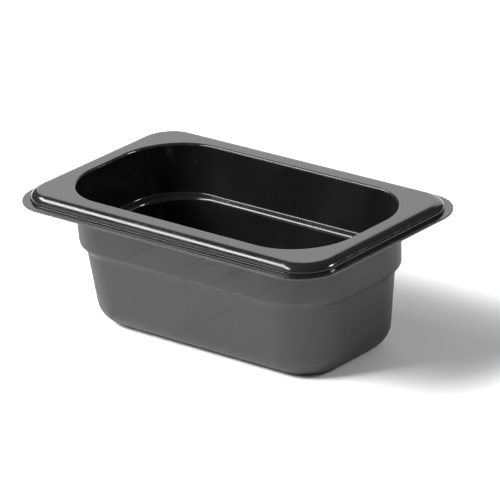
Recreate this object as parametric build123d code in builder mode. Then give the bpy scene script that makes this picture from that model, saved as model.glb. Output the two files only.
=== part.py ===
"""Deli food pan: a ninth-size gastronorm container, 176 x 108 mm at the rim, injection-moulded in one shot.

The pan is one moulding. It is modelled whole first, and then divided along section planes into its
regions, from the rim down to the floor, so that each one is a simple ring or plate and the hollow
stays open. The regions meet face to face, share one material and make one rigid body.

Frame: millimetres, +Z up, X along the pan's length. The origin is the middle of the underside.
"""

from build123d import *
import math
import os

# Overall size over the lip, and height from the underside to the top of the rim
LENGTH = 176.0
WIDTH = 108.0
HEIGHT = 64.0

# Lip: the thin flat flange that the pan hangs by, wider along the sides than across the ends
LIP_CORNER_RADIUS = 19.8
SIDE_LIP_WIDTH = 4.4
END_LIP_WIDTH = 3.3
LIP_THICKNESS = 0.9
LIP_EDGE_RADIUS = 0.3
LIP_DROP = 4.0
LIP_ROOT_RADIUS = 0.25

# Rim: a flat land with a bevelled edge, broadly rounded above the bevel and more tightly below it
RIM_CORNER_RADIUS = 15.9
RIM_BEVEL_INSET = 1.9
RIM_BEVEL_DROP = 2.7
RIM_UPPER_ROUND = 4.75
RIM_LOWER_ROUND = 2.5
RIM_THICKNESS = 2.2
RIM_UNDER_RADIUS = 1.2

# Mouth: the opening in the land, with a small rounded edge leading down to the inner wall
MOUTH_LENGTH = 148.2
MOUTH_WIDTH = 77.4
MOUTH_CORNER_RADIUS = 27.7
MOUTH_ROUND = 1.2

# Upper wall: thinnest at the rim, because the inside is drafted more than the outside
WALL_THICKNESS = 1.4
OUTER_UPPER_DRAFT = 2.4
INNER_UPPER_DRAFT = 3.8

# Stacking shoulder: the wall steps in over a slope outside and a flatter, higher ledge inside
SHOULDER_STEP = 3.0
OUTER_SHOULDER_DROP = 25.7
OUTER_SHOULDER_HEIGHT = 3.5
OUTER_SHOULDER_TOP_RADIUS = 2.5
OUTER_SHOULDER_FOOT_RADIUS = 3.0
LEDGE_DROP = 23.0
LEDGE_HEIGHT = 1.6
LEDGE_ROOT_RADIUS = 1.0
LEDGE_NOSE_RADIUS = 2.5

# Lower wall, heel and floor
LOWER_DRAFT = 6.6
HEEL_RADIUS = 11.0
INNER_HEEL_RADIUS = 8.8
FLOOR_THICKNESS = 2.3

# Section planes between the regions, clear of the fillets on either side
SECTION_MARGIN = 1.2
FLOOR_PANEL_MARGIN = 0.6

# How closely an edge or face has to lie at a height to be picked there
LEVEL_TOLERANCE = 0.01


def step_angle(height):
    """Slope of a shoulder, as the draft that steps the wall in over this height."""
    return math.degrees(math.atan(SHOULDER_STEP / height))


def pull_in(height, draft):
    """How far a drafted wall comes in over this height."""
    return height * math.tan(math.radians(draft))


def drafted_block(top_z, length, width, radius, height, draft):
    """A block with rounded corners that narrows downwards from top_z by its draft."""
    with BuildSketch(Plane(origin=(0, 0, top_z), x_dir=(1, 0, 0), z_dir=(0, 0, -1))) as section:
        RectangleRounded(length, width, radius)
    extrude(section.sketch, amount=height, taper=draft)


def stepped_block(length, width, radius, drop, draft, step_height, depth):
    """Upper wall, step and lower wall of a stepped block that hangs from the rim's top."""
    top_z = HEIGHT
    stages = ((drop, draft), (step_height, step_angle(step_height)), (depth, LOWER_DRAFT))
    for height, slope in stages:
        drafted_block(top_z, length, width, radius, height, slope)
        inset = pull_in(height, slope)
        length, width, radius = length - 2 * inset, width - 2 * inset, radius - inset
        top_z -= height
    return length, width, radius


def rounded_plate(bottom_z, length, width, radius, height, mode=Mode.ADD):
    """A level plate with rounded corners."""
    with BuildSketch(Plane.XY.offset(bottom_z)) as outline:
        RectangleRounded(length, width, radius)
    extrude(outline.sketch, amount=height, mode=mode)


def edges_at(height):
    """Edges of the current part that lie level at this height."""
    return edges().filter_by_position(Axis.Z, height - LEVEL_TOLERANCE, height + LEVEL_TOLERANCE)


def level_face(height):
    """The largest level face of the current part at this height."""
    low, high = height - LEVEL_TOLERANCE, height + LEVEL_TOLERANCE
    return faces().filter_by(Axis.Z).filter_by_position(Axis.Z, low, high).sort_by(SortBy.AREA)[-1]


lip_top = HEIGHT - LIP_DROP
lip_bottom = lip_top - LIP_THICKNESS
rim_length = LENGTH - 2 * END_LIP_WIDTH
rim_width = WIDTH - 2 * SIDE_LIP_WIDTH
rim_underside = HEIGHT - RIM_THICKNESS
outer_shoulder_top = HEIGHT - OUTER_SHOULDER_DROP
outer_shoulder_foot = outer_shoulder_top - OUTER_SHOULDER_HEIGHT
ledge_root = HEIGHT - LEDGE_DROP
ledge_nose = ledge_root - LEDGE_HEIGHT

# Drafted body outside, with its stacking shoulder and the heel round its base
with BuildPart() as body:
    base_length, base_width, base_radius = stepped_block(
        MOUTH_LENGTH + 2 * WALL_THICKNESS,
        MOUTH_WIDTH + 2 * WALL_THICKNESS,
        MOUTH_CORNER_RADIUS + WALL_THICKNESS,
        OUTER_SHOULDER_DROP,
        OUTER_UPPER_DRAFT,
        OUTER_SHOULDER_HEIGHT,
        outer_shoulder_foot,
    )
    fillet(edges_at(0), HEEL_RADIUS)
    fillet(edges_at(outer_shoulder_top), OUTER_SHOULDER_TOP_RADIUS)
    fillet(edges_at(outer_shoulder_foot), OUTER_SHOULDER_FOOT_RADIUS)

# Hollow inside, with the ledge that a stacked pan rests on
with BuildPart() as hollow:
    stepped_block(
        MOUTH_LENGTH,
        MOUTH_WIDTH,
        MOUTH_CORNER_RADIUS,
        LEDGE_DROP,
        INNER_UPPER_DRAFT,
        LEDGE_HEIGHT,
        ledge_nose - FLOOR_THICKNESS,
    )
    fillet(edges_at(FLOOR_THICKNESS), INNER_HEEL_RADIUS)
    fillet(edges_at(ledge_root), LEDGE_ROOT_RADIUS)
    fillet(edges_at(ledge_nose), LEDGE_NOSE_RADIUS)

# The whole moulding: the rim standing on its lip, hollow underneath, with the body hung inside it
with BuildPart() as moulding:
    rounded_plate(lip_bottom, rim_length, rim_width, RIM_CORNER_RADIUS, HEIGHT - lip_bottom)
    chamfer(edges_at(HEIGHT), RIM_BEVEL_INSET, RIM_BEVEL_DROP, reference=level_face(HEIGHT))
    fillet(edges_at(HEIGHT - RIM_BEVEL_DROP), RIM_LOWER_ROUND)
    fillet(edges_at(HEIGHT), RIM_UPPER_ROUND)
    rounded_plate(lip_bottom, LENGTH, WIDTH, LIP_CORNER_RADIUS, LIP_THICKNESS)
    fillet(level_face(lip_top).inner_wires()[0].edges(), LIP_ROOT_RADIUS)
    fillet(level_face(lip_top).outer_wire().edges(), LIP_EDGE_RADIUS)
    fillet(edges_at(lip_bottom), LIP_EDGE_RADIUS)
    rounded_plate(
        lip_bottom,
        rim_length - 2 * RIM_THICKNESS,
        rim_width - 2 * RIM_THICKNESS,
        RIM_CORNER_RADIUS - RIM_THICKNESS,
        rim_underside - lip_bottom,
        Mode.SUBTRACT,
    )
    fillet(edges_at(rim_underside), RIM_UNDER_RADIUS)
    add(body.part)
    add(hollow.part, mode=Mode.SUBTRACT)
    fillet(level_face(HEIGHT).inner_wires()[0].edges(), MOUTH_ROUND)

# Region 1: the rim, from its flat land down to the underside of the lip that the pan hangs by
with BuildPart() as rim:
    add(moulding.part)
    split(bisect_by=Plane.XY.offset(lip_bottom), keep=Keep.TOP)

# Region 2: the upper wall, between the rim and the stacking shoulder
upper_section = Plane.XY.offset(ledge_root + SECTION_MARGIN)
with BuildPart() as upper_wall:
    add(moulding.part)
    split(bisect_by=Plane.XY.offset(lip_bottom), keep=Keep.BOTTOM)
    split(bisect_by=upper_section, keep=Keep.TOP)

# Region 3: the stacking shoulder, where the wall steps in
lower_section = Plane.XY.offset(outer_shoulder_foot - SECTION_MARGIN)
with BuildPart() as stacking_shoulder:
    add(moulding.part)
    split(bisect_by=upper_section, keep=Keep.BOTTOM)
    split(bisect_by=lower_section, keep=Keep.TOP)

# Region 4: the lower wall, down to the heel
heel_section = Plane.XY.offset(HEEL_RADIUS)
with BuildPart() as lower_wall:
    add(moulding.part)
    split(bisect_by=lower_section, keep=Keep.BOTTOM)
    split(bisect_by=heel_section, keep=Keep.TOP)

# Outline of the flat part of the floor, just inside the heel's rounding
heel_reach = HEEL_RADIUS * math.tan(math.radians(90 - LOWER_DRAFT) / 2) + FLOOR_PANEL_MARGIN
with BuildSketch() as floor_outline:
    RectangleRounded(
        base_length - 2 * heel_reach, base_width - 2 * heel_reach, base_radius - heel_reach
    )

# Region 5: the heel, the rounded foot of the wall all round the floor
with BuildPart() as heel:
    add(moulding.part)
    split(bisect_by=heel_section, keep=Keep.BOTTOM)
    extrude(floor_outline.sketch, amount=HEEL_RADIUS, mode=Mode.SUBTRACT)

# Region 6: the flat floor panel
with BuildPart() as floor_panel:
    extrude(floor_outline.sketch, amount=FLOOR_THICKNESS)

regions = {
    "rim": rim,
    "upper_wall": upper_wall,
    "stacking_shoulder": stacking_shoulder,
    "lower_wall": lower_wall,
    "heel": heel,
    "floor_panel": floor_panel,
}
os.makedirs("parts", exist_ok=True)
for name, region in regions.items():
    region.part.label = name
    export_step(region.part, f"parts/{name}.step")
    print(name, round(region.part.volume), "mm3")
print("whole moulding", round(moulding.part.volume), "mm3")
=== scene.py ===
"""Looks of the deli food pan: one black polycarbonate moulding on a plain pale floor, in soft studio light.

Everything is in metres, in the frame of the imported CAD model: the origin is the middle of the pan's
underside, X runs along its length and Z up.
"""

import math

import bpy
from mathutils import Matrix, Vector


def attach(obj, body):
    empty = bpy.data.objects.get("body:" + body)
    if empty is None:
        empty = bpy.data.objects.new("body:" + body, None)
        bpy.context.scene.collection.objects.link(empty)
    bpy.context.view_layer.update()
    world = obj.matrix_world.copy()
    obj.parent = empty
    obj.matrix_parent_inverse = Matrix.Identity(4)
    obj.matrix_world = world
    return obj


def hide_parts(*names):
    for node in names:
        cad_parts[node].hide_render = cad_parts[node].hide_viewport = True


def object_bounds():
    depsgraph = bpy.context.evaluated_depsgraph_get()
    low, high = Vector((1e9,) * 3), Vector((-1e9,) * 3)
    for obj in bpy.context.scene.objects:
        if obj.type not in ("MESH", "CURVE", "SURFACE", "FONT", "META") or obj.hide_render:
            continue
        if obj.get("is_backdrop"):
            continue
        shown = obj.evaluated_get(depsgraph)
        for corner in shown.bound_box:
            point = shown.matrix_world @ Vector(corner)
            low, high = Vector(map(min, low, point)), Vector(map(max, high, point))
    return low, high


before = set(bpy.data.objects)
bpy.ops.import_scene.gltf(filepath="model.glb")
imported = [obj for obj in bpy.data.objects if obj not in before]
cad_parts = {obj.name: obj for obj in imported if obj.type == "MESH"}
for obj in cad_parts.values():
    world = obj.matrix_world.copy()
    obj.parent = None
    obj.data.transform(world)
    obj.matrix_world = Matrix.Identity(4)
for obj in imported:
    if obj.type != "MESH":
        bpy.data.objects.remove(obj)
CAD_LOW, CAD_HIGH = (tuple(corner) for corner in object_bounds())

MM = 0.001

# Sizes of the moulding, the same as the CAD model's
HALF_LENGTH = CAD_HIGH[0]
HALF_WIDTH = CAD_HIGH[1]
HEIGHT = CAD_HIGH[2]
LIP_CORNER_RADIUS = 19.8 * MM
SIDE_LIP_WIDTH = 4.4 * MM
END_LIP_WIDTH = 3.3 * MM
LIP_THICKNESS = 0.9 * MM
LIP_EDGE_RADIUS = 0.3 * MM
LIP_DROP = 4.0 * MM
LIP_ROOT_RADIUS = 0.25 * MM
RIM_CORNER_RADIUS = 15.9 * MM
RIM_BEVEL_INSET = 1.9 * MM
RIM_BEVEL_DROP = 2.7 * MM
RIM_UPPER_ROUND = 4.75 * MM
RIM_LOWER_ROUND = 2.5 * MM
RIM_THICKNESS = 2.2 * MM
RIM_UNDER_RADIUS = 1.2 * MM
MOUTH_HALF_LENGTH = 74.1 * MM
MOUTH_HALF_WIDTH = 38.7 * MM
MOUTH_CORNER_RADIUS = 27.7 * MM
MOUTH_ROUND = 1.2 * MM
WALL_THICKNESS = 1.4 * MM
OUTER_UPPER_SLOPE = math.tan(math.radians(2.4))
INNER_UPPER_SLOPE = math.tan(math.radians(3.8))
LOWER_SLOPE = math.tan(math.radians(6.6))
SHOULDER_STEP = 3.0 * MM
OUTER_SHOULDER_DROP = 25.7 * MM
OUTER_SHOULDER_HEIGHT = 3.5 * MM
OUTER_SHOULDER_TOP_RADIUS = 2.5 * MM
OUTER_SHOULDER_FOOT_RADIUS = 3.0 * MM
LEDGE_DROP = 23.0 * MM
LEDGE_HEIGHT = 1.6 * MM
LEDGE_ROOT_RADIUS = 1.0 * MM
LEDGE_NOSE_RADIUS = 2.5 * MM
HEEL_RADIUS = 11.0 * MM
INNER_HEEL_RADIUS = 8.8 * MM
FLOOR_THICKNESS = 2.3 * MM

# Two small roundings under the rim, on edges that the CAD model leaves sharp
WALL_ROOT_RADIUS = 0.4 * MM
LIP_INNER_EDGE_RADIUS = LIP_EDGE_RADIUS / 2

# How far the rim's profile runs onto the land, in radii of its upper round
LAND_REACH = 0.6

# Fineness of the mesh. Arc steps are in degrees.
CORNER_STEPS = 28
LONG_STEPS = 14
SHORT_STEPS = 8
ARC_STEP = 7.0
WALL_ROW = 4.0 * MM
SHORTEST_STEP = 0.045 * MM

# Where the flats inside the heel begin, in heel radii, short of where their corners would fold over
FLAT_REACH = 1.2

# Convex edges this tight, or tighter, show the most wear
FULL_WEAR_RADIUS = 1.2 * MM

# Order of the two finishes on the mesh
POLISHED = 0
SATIN = 1

# Vertex attribute that carries the edge wear from the mesh to the materials
WEAR_ATTRIBUTE = "edge_wear"

# How strongly large faces pull the normals beside them, out of 100
NORMAL_WEIGHT = 90


# ---------------------------------------------------------------- profile of the moulding

def arc(centre, radius, start, end):
    """Points of an arc in the profile plane, angles in degrees from the outward axis."""
    steps = max(3, round(abs(end - start) / ARC_STEP))
    points = []
    for i in range(steps + 1):
        angle = math.radians(start + (end - start) * i / steps)
        points.append((centre[0] + radius * math.cos(angle), centre[1] + radius * math.sin(angle)))
    return points


def rounded(corners):
    """A line through (inset, height, radius) corners, each rounded to its radius."""
    points = [corners[0][:2]]
    for before, corner, after in zip(corners, corners[1:], corners[2:]):
        here = Vector(corner[:2])
        back = (Vector(before[:2]) - here).normalized()
        ahead = (Vector(after[:2]) - here).normalized()
        half_angle = back.angle(ahead) / 2
        reach = corner[2] / math.tan(half_angle)
        centre = here + (back + ahead).normalized() * corner[2] / math.sin(half_angle)
        first = here + back * reach - centre
        last = here + ahead * reach - centre
        start = math.degrees(math.atan2(first.y, first.x))
        turn = math.degrees(math.atan2(last.y, last.x)) - start
        turn = (turn + 180) % 360 - 180
        points += arc(centre, corner[2], start, start + turn)
    return points + [corners[-1][:2]]


def subdivided(points, longest):
    """The same line with its straight runs cut into even steps, and points that nearly coincide dropped."""
    line = [points[0]]
    for start, end in zip(points, points[1:]):
        steps = max(1, math.ceil(math.dist(start, end) / longest))
        for i in range(1, steps + 1):
            line.append(tuple(a + (b - a) * i / steps for a, b in zip(start, end)))
    kept = [line[0]]
    for point in line[1:-1]:
        if math.dist(point, kept[-1]) > SHORTEST_STEP:
            kept.append(point)
    return kept + [line[-1]]


def rim_profile():
    """From the foot of the hollow under the rim, round the lip and the rim's edge, up onto the land."""
    lip_top = HEIGHT - LIP_DROP
    lip_bottom = lip_top - LIP_THICKNESS
    channel = SIDE_LIP_WIDTH + RIM_THICKNESS
    bevel_top = SIDE_LIP_WIDTH + RIM_BEVEL_INSET
    return rounded([
        (MOUTH_ROUND + channel, HEIGHT - RIM_THICKNESS, 0),
        (channel, HEIGHT - RIM_THICKNESS, RIM_UNDER_RADIUS),
        (channel, lip_bottom, LIP_INNER_EDGE_RADIUS),
        (0, lip_bottom, LIP_EDGE_RADIUS),
        (0, lip_top, LIP_EDGE_RADIUS),
        (SIDE_LIP_WIDTH, lip_top, LIP_ROOT_RADIUS),
        (SIDE_LIP_WIDTH, HEIGHT - RIM_BEVEL_DROP, RIM_LOWER_ROUND),
        (bevel_top, HEIGHT, RIM_UPPER_ROUND),
        (bevel_top + RIM_UPPER_ROUND * LAND_REACH, HEIGHT, 0),
    ])


def inner_profile():
    """From the land over the mouth's edge, down the inside and its ledge to the floor."""
    root = (LEDGE_DROP * INNER_UPPER_SLOPE, HEIGHT - LEDGE_DROP)
    nose = (root[0] + SHOULDER_STEP, root[1] - LEDGE_HEIGHT)
    heel = nose[0] + (nose[1] - FLOOR_THICKNESS) * LOWER_SLOPE
    return rounded([
        (-2 * MOUTH_ROUND, HEIGHT, 0),
        (0, HEIGHT, MOUTH_ROUND),
        (*root, LEDGE_ROOT_RADIUS),
        (*nose, LEDGE_NOSE_RADIUS),
        (heel, FLOOR_THICKNESS, INNER_HEEL_RADIUS),
        (heel + FLAT_REACH * INNER_HEEL_RADIUS, FLOOR_THICKNESS, 0),
    ])


def outer_profile():
    """From the underside, round the heel and up the outside past the shoulder to the rim's hollow."""
    top = HEIGHT - RIM_THICKNESS
    shoulder = (OUTER_SHOULDER_DROP * OUTER_UPPER_SLOPE - WALL_THICKNESS, HEIGHT - OUTER_SHOULDER_DROP)
    foot = (shoulder[0] + SHOULDER_STEP, shoulder[1] - OUTER_SHOULDER_HEIGHT)
    heel = foot[0] + foot[1] * LOWER_SLOPE
    root = RIM_THICKNESS * OUTER_UPPER_SLOPE - WALL_THICKNESS
    return rounded([
        (heel + FLAT_REACH * HEEL_RADIUS, 0, 0),
        (heel, 0, HEEL_RADIUS),
        (*foot, OUTER_SHOULDER_FOOT_RADIUS),
        (*shoulder, OUTER_SHOULDER_TOP_RADIUS),
        (root, top, WALL_ROOT_RADIUS),
        (root - 2 * WALL_ROOT_RADIUS, top, 0),
    ])


# ---------------------------------------------------------------- mesh of the moulding

def outline(half_length, half_width, radius, height):
    """Points of a rounded rectangle at this height, anticlockwise from the middle of its +X side."""
    assert radius > 0, "the corners of this ring would fold over"
    centre = (half_length - radius, half_width - radius)
    quarter = [(half_length, centre[1] * i / SHORT_STEPS) for i in range(SHORT_STEPS)]
    for i in range(CORNER_STEPS):
        angle = math.pi / 2 * i / CORNER_STEPS
        quarter.append((centre[0] + radius * math.cos(angle), centre[1] + radius * math.sin(angle)))
    quarter += [(centre[0] * (1 - i / LONG_STEPS), half_width) for i in range(LONG_STEPS + 1)]
    left = [(-x, y) for x, y in reversed(quarter[:-1])]
    upper = quarter + left
    lower = [(x, -y) for x, y in reversed(upper[1:-1])]
    return [(x, y, height) for x, y in upper + lower]


def rim_ring(point):
    """The ring of a profile point measured in from the lip's long sides. The lip is narrower at its ends."""
    inset, height = point
    on_lip = min(inset / SIDE_LIP_WIDTH, 1)
    past_lip = max(inset - SIDE_LIP_WIDTH, 0)
    radius = LIP_CORNER_RADIUS + (RIM_CORNER_RADIUS - LIP_CORNER_RADIUS) * on_lip - past_lip
    return outline(HALF_LENGTH - END_LIP_WIDTH * on_lip - past_lip, HALF_WIDTH - inset, radius, height)


def wall_ring(point):
    """The ring of a profile point measured in from the mouth's outline."""
    inset, height = point
    return outline(
        MOUTH_HALF_LENGTH - inset, MOUTH_HALF_WIDTH - inset, MOUTH_CORNER_RADIUS - inset, height
    )


def bridge(faces, ring_a, ring_b, count):
    """Quads between two rings of the same number of points."""
    for i in range(count):
        j = (i + 1) % count
        faces.append((ring_a * count + i, ring_a * count + j, ring_b * count + j, ring_b * count + i))


def fill(faces, ring, count, upward):
    """Flat faces across a ring: one polygon along each straight end, and quads between mirrored points."""
    reach = SHORT_STEPS + 1
    middle = count // 2
    flat = [range(-reach, reach + 1), range(middle - reach, middle + reach + 1)]
    flat += [(i, i + 1, count - i - 1, count - i) for i in range(reach, middle - reach)]
    for corners in flat:
        face = [ring * count + k % count for k in corners]
        faces.append(tuple(face if upward else reversed(face)))


def sharpness(points):
    """How sharply the skin turns outwards at each point of a profile: 0 if flat or hollow, up to 1."""
    values = [0.0]
    for before, here, after in zip(points, points[1:], points[2:]):
        back, ahead = Vector(here) - Vector(before), Vector(after) - Vector(here)
        turn = back.angle_signed(ahead, 0) / (back.length + ahead.length) * 2
        values.append(min(max(turn * FULL_WEAR_RADIUS, 0), 1))
    return values + [0.0]


def moulding_mesh(name):
    """The whole pan as one closed skin. Its polished faces come first: rim, inside and floor."""
    rim, inner, outer = (
        subdivided(profile(), WALL_ROW) for profile in (rim_profile, inner_profile, outer_profile)
    )
    rings = [rim_ring(p) for p in rim] + [wall_ring(p) for p in inner + outer]
    ring_wear = sharpness(rim) + sharpness(inner) + sharpness(outer)
    outer_start = len(rim) + len(inner)
    count = len(rings[0])
    faces = []
    for i in range(outer_start - 1):
        bridge(faces, i, i + 1, count)
    fill(faces, outer_start - 1, count, upward=True)
    polished = len(faces)
    for i in range(outer_start, len(rings) - 1):
        bridge(faces, i, i + 1, count)
    bridge(faces, len(rings) - 1, 0, count)
    fill(faces, outer_start, count, upward=False)
    mesh = bpy.data.meshes.new(name)
    mesh.from_pydata([point for ring in rings for point in ring], [], faces)
    for i, polygon in enumerate(mesh.polygons):
        polygon.use_smooth = True
        polygon.material_index = POLISHED if i < polished else SATIN
    wear = mesh.attributes.new(WEAR_ATTRIBUTE, "FLOAT", "POINT")
    wear.data.foreach_set("value", [value for value in ring_wear for _ in range(count)])
    mesh.update()
    return mesh


pan = bpy.data.objects.new("pan", moulding_mesh("pan"))
bpy.context.scene.collection.objects.link(pan)
weighted = pan.modifiers.new("weighted_normals", "WEIGHTED_NORMAL")
weighted.weight = NORMAL_WEIGHT
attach(pan, "root")
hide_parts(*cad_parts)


# ---------------------------------------------------------------- materials

POLYCARBONATE_IOR = 1.585


class Finish:
    """A procedural plastic: a Principled shader with helpers that wire object-space detail into it."""

    def __init__(self, name):
        self.material = bpy.data.materials.new(name)
        self.material.use_nodes = True
        self.tree = self.material.node_tree
        self.shader = self.tree.nodes["Principled BSDF"]
        self.shader.inputs["IOR"].default_value = POLYCARBONATE_IOR
        self.place = self.tree.nodes.new("ShaderNodeTexCoord").outputs["Object"]

    def link(self, source, socket):
        """Wire an output to an input."""
        self.tree.links.new(source, socket)

    def noise(self, feature, detail, stretch=(1, 1, 1), tilt=0):
        """Noise with features of this size in metres, stretched along an axis and tilted about Y."""
        turned = self.tree.nodes.new("ShaderNodeMapping")
        turned.inputs["Rotation"].default_value = (0, math.radians(tilt), 0)
        scaled = self.tree.nodes.new("ShaderNodeMapping")
        scaled.inputs["Scale"].default_value = tuple(1 / factor for factor in stretch)
        noise = self.tree.nodes.new("ShaderNodeTexNoise")
        noise.inputs["Scale"].default_value = 1 / feature
        noise.inputs["Detail"].default_value = detail
        self.link(self.place, turned.inputs["Vector"])
        self.link(turned.outputs["Vector"], scaled.inputs["Vector"])
        self.link(scaled.outputs["Vector"], noise.inputs["Vector"])
        return noise.outputs["Fac"]

    def spread(self, source, taken, given=(0, 1)):
        """The value remapped smoothly from the range taken to the range given."""
        node = self.tree.nodes.new("ShaderNodeMapRange")
        node.interpolation_type = "SMOOTHSTEP"
        self.link(source, node.inputs["Value"])
        for name, value in zip(("From Min", "From Max", "To Min", "To Max"), taken + given):
            node.inputs[name].default_value = value
        return node.outputs["Result"]

    def combine(self, operation, first, second):
        """A value combined with another value, or with a number, by a maths node."""
        node = self.tree.nodes.new("ShaderNodeMath")
        node.operation = operation
        self.link(first, node.inputs[0])
        if isinstance(second, (int, float)):
            node.inputs[1].default_value = second
        else:
            self.link(second, node.inputs[1])
        return node.outputs["Value"]

    def wear(self, patch):
        """Edge wear from the mesh, broken up by noise."""
        attribute = self.tree.nodes.new("ShaderNodeAttribute")
        attribute.attribute_name = WEAR_ATTRIBUTE
        return self.combine("MULTIPLY", attribute.outputs["Fac"], self.spread(patch, (0.45, 0.65)))

    def colour(self, amount, dark, light):
        """Base colour between two near-black greys."""
        mix = self.tree.nodes.new("ShaderNodeMixRGB")
        mix.inputs["Color1"].default_value = (*dark, 1)
        mix.inputs["Color2"].default_value = (*light, 1)
        self.link(amount, mix.inputs["Fac"])
        self.link(mix.outputs["Color"], self.shader.inputs["Base Color"])

    def bumps(self, *layers):
        """Surface relief: (height, strength, depth in metres) layers, each on top of the last."""
        normal = None
        for height, strength, depth in layers:
            bump = self.tree.nodes.new("ShaderNodeBump")
            bump.inputs["Strength"].default_value = strength
            bump.inputs["Distance"].default_value = depth
            self.link(height, bump.inputs["Height"])
            if normal:
                self.link(normal, bump.inputs["Normal"])
            normal = bump.outputs["Normal"]
        self.link(normal, self.shader.inputs["Normal"])


def polished_moulding():
    """Inside, rim and floor: glossy, faintly smudged and rippled, with hairline scratches."""
    finish = Finish("polished_moulding")
    smudge = finish.spread(finish.noise(feature=0.035, detail=3), (0.42, 0.68))
    wear = finish.wear(finish.noise(feature=0.004, detail=4))
    hairline = finish.noise(feature=0.0006, detail=2, stretch=(40, 1, 1), tilt=12)
    scratch = finish.spread(hairline, (0.66, 0.74))
    dulled = finish.combine(
        "ADD", finish.combine("MULTIPLY", smudge, 0.05), finish.combine("MULTIPLY", wear, 0.14)
    )
    rough = finish.combine("ADD", finish.combine("MULTIPLY", scratch, 0.10), dulled)
    finish.link(finish.combine("ADD", rough, 0.12), finish.shader.inputs["Roughness"])
    tone = finish.combine(
        "ADD", finish.combine("MULTIPLY", smudge, 0.5), finish.combine("MULTIPLY", wear, 0.5)
    )
    finish.colour(tone, dark=(0.006, 0.006, 0.0062), light=(0.013, 0.013, 0.0133))
    ripple = finish.noise(feature=0.003, detail=2)
    finish.bumps((ripple, 0.04, 0.0001), (scratch, 0.05, 0.00002))
    return finish.material


def satin_moulding():
    """Outside and underside: a fine satin grain, with drag marks, slanting scuffs and rubbed edges."""
    finish = Finish("satin_moulding")
    cloud = finish.noise(feature=0.022, detail=3)
    drag = finish.spread(finish.noise(feature=0.0016, detail=2, stretch=(1, 1, 18)), (0.60, 0.72))
    slant = finish.noise(feature=0.0035, detail=3, stretch=(26, 1, 1), tilt=31)
    scuff = finish.spread(slant, (0.56, 0.70))
    wear = finish.wear(finish.noise(feature=0.005, detail=4))
    marks = finish.combine(
        "ADD", finish.combine("MULTIPLY", drag, 0.03), finish.combine("MULTIPLY", scuff, 0.07)
    )
    rough = finish.combine("ADD", finish.spread(cloud, (0.3, 0.7), (0.54, 0.62)), marks)
    rubbed = finish.combine("SUBTRACT", rough, finish.combine("MULTIPLY", wear, 0.10))
    finish.link(rubbed, finish.shader.inputs["Roughness"])
    tone = finish.combine(
        "ADD", finish.spread(cloud, (0.35, 0.65), (0, 0.4)), finish.combine("MULTIPLY", wear, 0.6)
    )
    finish.colour(tone, dark=(0.014, 0.014, 0.015), light=(0.030, 0.030, 0.031))
    grain = finish.noise(feature=0.0003, detail=2)
    dimple = finish.noise(feature=0.006, detail=2)
    finish.bumps((grain, 0.10, 0.00002), (dimple, 0.05, 0.0001), (scuff, 0.05, 0.00003))
    return finish.material


pan.data.materials.append(polished_moulding())
pan.data.materials.append(satin_moulding())

# ---------------------------------------------------------------- floor, lights and camera

FLOOR_SIZE = 8.0
FLOOR_GREY = 0.9
FLOOR_ROUGHNESS = 0.9
ROOM_GREY = 0.16


def pale_floor():
    """A large plain floor that the pan stands on."""
    bpy.ops.mesh.primitive_plane_add(size=FLOOR_SIZE)
    floor = bpy.context.object
    floor.name = "studio_floor"
    material = bpy.data.materials.new("pale_floor")
    material.use_nodes = True
    shader = material.node_tree.nodes["Principled BSDF"]
    shader.inputs["Base Color"].default_value = (FLOOR_GREY, FLOOR_GREY, FLOOR_GREY, 1)
    shader.inputs["Roughness"].default_value = FLOOR_ROUGHNESS
    floor.data.materials.append(material)
    floor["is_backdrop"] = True


def softbox(name, azimuth, elevation, distance, width, height, radiance):
    """A rectangular light facing the pan, unseen by the camera. Degrees, with the azimuth from +X."""
    data = bpy.data.lights.new(name, "AREA")
    data.shape = "RECTANGLE"
    data.size, data.size_y = width, height
    data.energy = radiance * math.pi * width * height
    light = bpy.data.objects.new(name, data)
    bpy.context.scene.collection.objects.link(light)
    a, e = math.radians(azimuth), math.radians(elevation)
    direction = Vector((math.cos(a) * math.cos(e), math.sin(a) * math.cos(e), math.sin(e)))
    target = Vector((0, 0, HEIGHT))
    light.location = target + direction * distance
    light.rotation_euler = direction.to_track_quat("Z", "Y").to_euler()
    light.visible_camera = False
    return light


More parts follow.
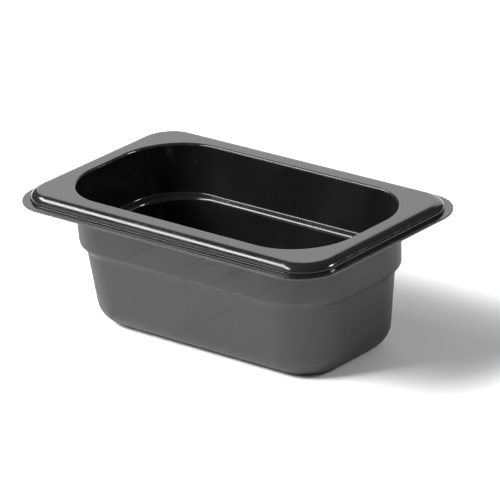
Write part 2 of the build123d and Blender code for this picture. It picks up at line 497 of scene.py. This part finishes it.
pale_floor()
softbox("key", azimuth=-150, elevation=45, distance=3.0, width=3.2, height=0.55, radiance=14)
softbox("backdrop", azimuth=122, elevation=20, distance=3.4, width=3.2, height=2.1, radiance=1.2)
softbox("strip", azimuth=-129, elevation=14, distance=3.0, width=0.6, height=0.4, radiance=2.6)
softbox("glint", azimuth=36, elevation=30, distance=3.0, width=0.7, height=0.45, radiance=30)

# Lights the floor and the matt part of the pan's tone. Hidden from every reflection, as no real lamp is.
floor_light = softbox(
    "floor_light", azimuth=-138, elevation=42, distance=3.4, width=2.2, height=1.8, radiance=21
)
floor_light.visible_glossy = False

world = bpy.data.worlds.new("studio")
bpy.context.scene.world = world
world.use_nodes = True
world.node_tree.nodes["Background"].inputs["Color"].default_value = (ROOM_GREY, ROOM_GREY, ROOM_GREY, 1)
world.node_tree.nodes["Background"].inputs["Strength"].default_value = 1.0
bpy.context.scene.view_settings.view_transform = "Standard"

# Camera, from a fit to the photograph. Its azimuth is from -Y, its lens and sensor are in millimetres.
CAMERA_AZIMUTH = math.radians(42.165)
CAMERA_ELEVATION = math.radians(22.102)
CAMERA_ROLL = math.radians(-3.75)
CAMERA_DISTANCE = 1.9429
CAMERA_TARGET = Vector((0.00606, 0.00061, HEIGHT - 0.025))
CAMERA_LENS = 321.96
CAMERA_SENSOR_WIDTH = 36


def photo_camera():
    """The camera at the photograph's viewing angle."""
    data = bpy.data.cameras.new("camera")
    data.lens = CAMERA_LENS
    data.sensor_width = CAMERA_SENSOR_WIDTH
    camera = bpy.data.objects.new("camera", data)
    bpy.context.scene.collection.objects.link(camera)
    back = Vector((
        math.sin(CAMERA_AZIMUTH) * math.cos(CAMERA_ELEVATION),
        -math.cos(CAMERA_AZIMUTH) * math.cos(CAMERA_ELEVATION),
        math.sin(CAMERA_ELEVATION),
    ))
    right = Vector((0, 0, 1)).cross(back).normalized()
    up = back.cross(right)
    right_rolled = right * math.cos(CAMERA_ROLL) + up * math.sin(CAMERA_ROLL)
    up_rolled = up * math.cos(CAMERA_ROLL) - right * math.sin(CAMERA_ROLL)
    turn = Matrix((right_rolled, up_rolled, back)).transposed().to_4x4()
    camera.matrix_world = Matrix.Translation(CAMERA_TARGET + back * CAMERA_DISTANCE) @ turn
    bpy.context.scene.camera = camera


photo_camera()
